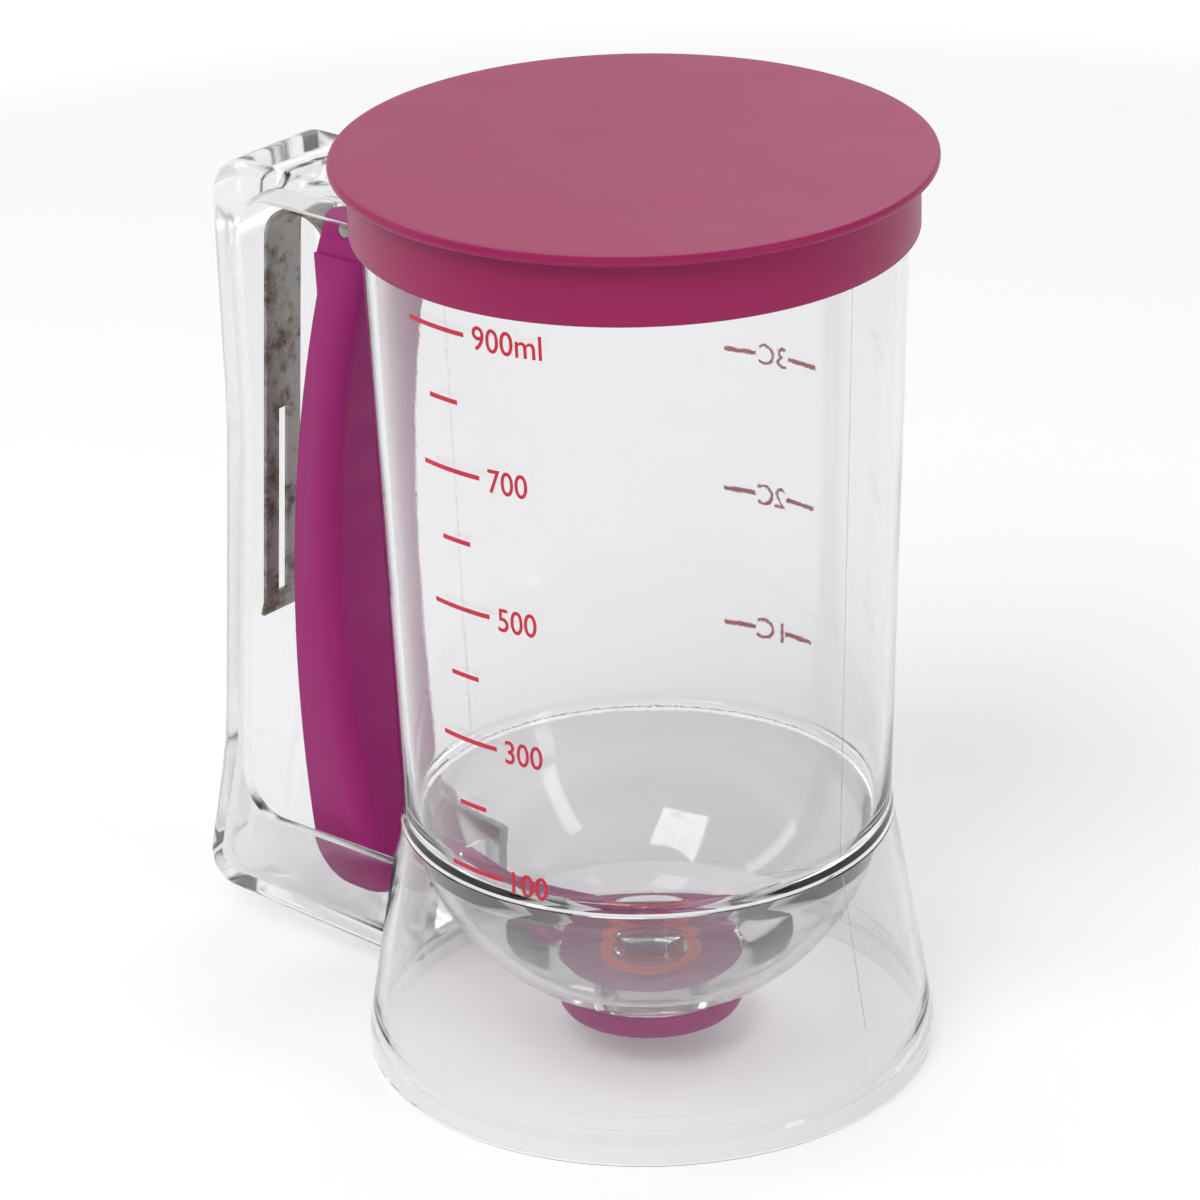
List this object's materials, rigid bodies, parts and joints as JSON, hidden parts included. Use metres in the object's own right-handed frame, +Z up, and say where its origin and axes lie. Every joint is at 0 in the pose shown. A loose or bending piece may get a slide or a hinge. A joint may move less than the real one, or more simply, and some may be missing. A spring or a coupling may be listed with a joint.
{
  "type": "batter dispenser",
  "caption": "Hand-held batter dispenser: a clear graduated tumbler with a push-on lid, and a squeeze lever that swings a valve away from the outlet.",
  "frame": {"origin": "centre of the base rim, on the table plane, on the axis of the tumbler", "axes": "+Z up along the axis of the tumbler; the handle is on the -X side; +Y completes a right-handed frame"},
  "size_m": [0.1674, 0.1154, 0.1866],
  "materials": {
    "clear_plastic": "clear moulded, polished",
    "plum_plastic": "satin moulded",
    "red_silicone": "smooth",
    "steel": "rolled strip, stained"
  },
  "bodies": {
    "body": {"tumbler_body": "clear_plastic", "base_skirt": "clear_plastic", "hopper_bowl": "clear_plastic", "handle_frame": "clear_plastic", "pivot_pin": "steel", "leaf_spring": "steel"},
    "lid": {"lid_cap": "plum_plastic"},
    "lever": {"squeeze_lever": "plum_plastic", "valve_paddle": "plum_plastic", "valve_seal": "red_silicone"}
  },
  "joints": [
    {"name": "lid_lift", "type": "slide", "parent": "body", "child": "lid", "axis": [0, 0, 1], "range_m": [0, 0.03]},
    {"name": "lever_squeeze", "type": "hinge", "parent": "body", "child": "lever", "pos_m": [-0.0668, 0, 0.1585], "axis": [0, 1, 0], "range_deg": [0, 7.5], "stiffness_Nm_per_rad": 2.5, "springref_deg": -5.73, "deforming": ["leaf_spring"]}
  ]
}
